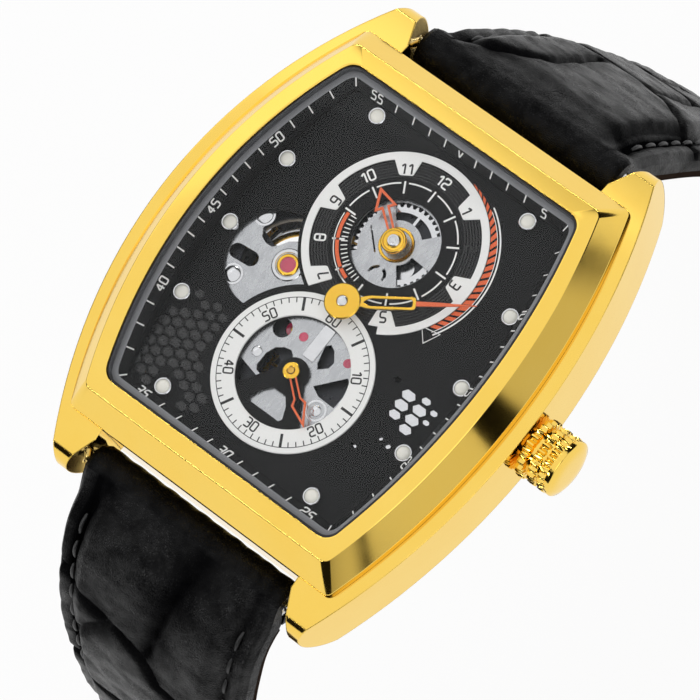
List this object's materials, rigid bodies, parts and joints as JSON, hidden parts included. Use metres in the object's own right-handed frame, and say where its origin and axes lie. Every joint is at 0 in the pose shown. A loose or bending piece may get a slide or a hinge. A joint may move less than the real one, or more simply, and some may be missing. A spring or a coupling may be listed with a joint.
{
  "type": "tonneau automatic skeleton wristwatch",
  "caption": "Barrel-shaped gold automatic wristwatch with a cut-out black dial, offset hour and seconds rings and a black leather strap.",
  "frame": {"origin": "centre of the outer face of the case back", "axes": "+X towards the crown at 3 o'clock, +Y towards 12 o'clock, +Z out of the dial"},
  "size_m": [0.0478, 0.1451, 0.0992],
  "materials": {
    "yellow_gold": "polished",
    "gold_parts": "polished",
    "glass": "clear",
    "gasket": "matt",
    "flange_grey": "satin",
    "dial_black": "matt",
    "print_white": "matt",
    "lume": "matt",
    "steel": "satin",
    "blued_steel": "satin",
    "ruby": "polished",
    "orange_paint": "matt",
    "wheel_brass": "satin",
    "black_leather": "embossed",
    "lining_leather": "smooth"
  },
  "bodies": {
    "base": {"case_middle": "yellow_gold", "bezel": "yellow_gold", "crystal": "glass", "crystal_gasket": "gasket", "dial_flange": "flange_grey", "dial_plate": "dial_black", "hour_chapter_ring": "print_white", "seconds_ring": "print_white", "marker_cups": "steel", "marker_lume": "lume", "movement_ring": "flange_grey", "main_plate": "steel", "hour_bridge": "steel", "seconds_bridge": "steel", "balance_bridge": "steel", "barrel_bridge": "steel", "train_bridge": "steel", "balance_cock": "steel", "pallet_bridge": "steel", "jewels": "ruby", "bridge_screws": "steel", "case_back": "yellow_gold", "back_crystal": "glass", "back_crystal_gasket": "gasket", "back_screws": "yellow_gold", "crown_tube": "yellow_gold", "rotor_bearing": "steel", "spring_bar_12": "steel", "spring_bar_6": "steel", "hairspring": "blued_steel"},
    "minute": {"minute_hand": "gold_parts", "cannon_pinion": "wheel_brass", "centre_wheel": "wheel_brass"},
    "motion": {"minute_wheel": "wheel_brass"},
    "hour": {"hour_wheel": "wheel_brass", "hour_hand": "orange_paint"},
    "third": {"third_wheel": "wheel_brass"},
    "seconds": {"fourth_wheel": "wheel_brass", "seconds_hand": "orange_paint"},
    "escape": {"escape_wheel": "wheel_brass"},
    "pallet": {"pallet_fork": "steel"},
    "balance": {"balance_wheel": "gold_parts", "balance_staff": "steel"},
    "barrel": {"barrel_drum": "wheel_brass", "mainspring": "steel"},
    "arbor": {"barrel_arbor": "steel"},
    "rotor": {"rotor_weight": "steel"},
    "crown_carrier": {"crown_gasket": "gasket"},
    "crown": {"crown": "yellow_gold", "winding_stem": "steel"},
    "strap_12": {"strap_12": "black_leather", "strap_12_lining": "lining_leather", "fixed_keeper": "black_leather"},
    "free_keeper": {"free_keeper": "black_leather"},
    "buckle": {"buckle_frame": "yellow_gold", "buckle_bar": "steel"},
    "tongue": {"buckle_tongue": "yellow_gold"},
    "strap_6": {"strap_6": "black_leather", "strap_6_lining": "lining_leather"}
  },
  "joints": [
    {"name": "strap_12_swing", "type": "hinge", "parent": "base", "child": "strap_12", "pos_m": [0, 0.025, 0.0044], "axis": [1, 0, 0], "range_deg": [-6, 35]},
    {"name": "strap_6_swing", "type": "hinge", "parent": "base", "child": "strap_6", "pos_m": [0, -0.025, 0.0044], "axis": [1, 0, 0], "range_deg": [-35, 6]},
    {"name": "buckle_swing", "type": "hinge", "parent": "strap_12", "child": "buckle", "pos_m": [0, 0.0517, -0.0827], "axis": [1, 0, 0], "range_deg": [-80, 0]},
    {"name": "tongue_swing", "type": "hinge", "parent": "buckle", "child": "tongue", "pos_m": [0, 0.0517, -0.0827], "axis": [1, 0, 0], "range_deg": [0, 28]},
    {"name": "keeper_slide", "type": "slide", "parent": "strap_12", "child": "free_keeper", "axis": [0, 0.1982, -0.9802], "range_m": [-0.006, 0.0015]},
    {"name": "crown_pull", "type": "slide", "parent": "base", "child": "crown_carrier", "axis": [1, 0, 0], "range_m": [0, 0.0014]},
    {"name": "crown_turn", "type": "hinge", "parent": "crown_carrier", "child": "crown", "pos_m": [0.022, 0, 0.007], "axis": [1, 0, 0], "continuous": true},
    {"name": "minute_turn", "type": "hinge", "parent": "base", "child": "minute", "pos_m": [0, 0, 0.0096], "axis": [0, 0, 1], "continuous": true},
    {"name": "motion_turn", "type": "hinge", "parent": "base", "child": "motion", "pos_m": [-0.00256, 0.00307, 0.0086], "axis": [0, 0, 1], "continuous": true},
    {"name": "hour_turn", "type": "hinge", "parent": "base", "child": "hour", "pos_m": [0, 0.00737, 0.0096], "axis": [0, 0, 1], "continuous": true},
    {"name": "third_turn", "type": "hinge", "parent": "base", "child": "third", "pos_m": [0.00332, -0.00426, 0.0066], "axis": [0, 0, 1], "continuous": true},
    {"name": "seconds_turn", "type": "hinge", "parent": "base", "child": "seconds", "pos_m": [0, -0.00785, 0.0066], "axis": [0, 0, 1], "continuous": true},
    {"name": "escape_turn", "type": "hinge", "parent": "base", "child": "escape", "pos_m": [-0.00316, -0.0044, 0.0066], "axis": [0, 0, 1], "continuous": true},
    {"name": "barrel_turn", "type": "hinge", "parent": "base", "child": "barrel", "pos_m": [0.00163, 0.00609, 0.0056], "axis": [0, 0, 1], "continuous": true},
    {"name": "ratchet_turn", "type": "hinge", "parent": "base", "child": "arbor", "pos_m": [0.00163, 0.00609, 0.0027], "axis": [0, 0, 1], "continuous": true},
    {"name": "pallet_rock", "type": "hinge", "parent": "base", "child": "pallet", "pos_m": [-0.00492, -0.00248, 0.0061], "axis": [0, 0, 1], "range_deg": [-5, 5]},
    {"name": "balance_swing", "type": "hinge", "parent": "base", "child": "balance", "pos_m": [-0.0072, 0, 0.0046], "axis": [0, 0, 1], "range_deg": [-270, 270]},
    {"name": "rotor_turn", "type": "hinge", "parent": "base", "child": "rotor", "pos_m": [0, 0, 0.0016], "axis": [0, 0, 1], "continuous": true}
  ],
  "couplings": [
    {"joint": "motion_turn", "follows": "minute_turn", "ratio": -0.33333},
    {"joint": "hour_turn", "follows": "minute_turn", "ratio": 0.083333},
    {"joint": "third_turn", "follows": "minute_turn", "ratio": -8},
    {"joint": "seconds_turn", "follows": "minute_turn", "ratio": 60},
    {"joint": "escape_turn", "follows": "minute_turn", "ratio": -720},
    {"joint": "barrel_turn", "follows": "minute_turn", "ratio": -0.16667},
    {"joint": "ratchet_turn", "follows": "crown_turn", "ratio": -0.35}
  ]
}
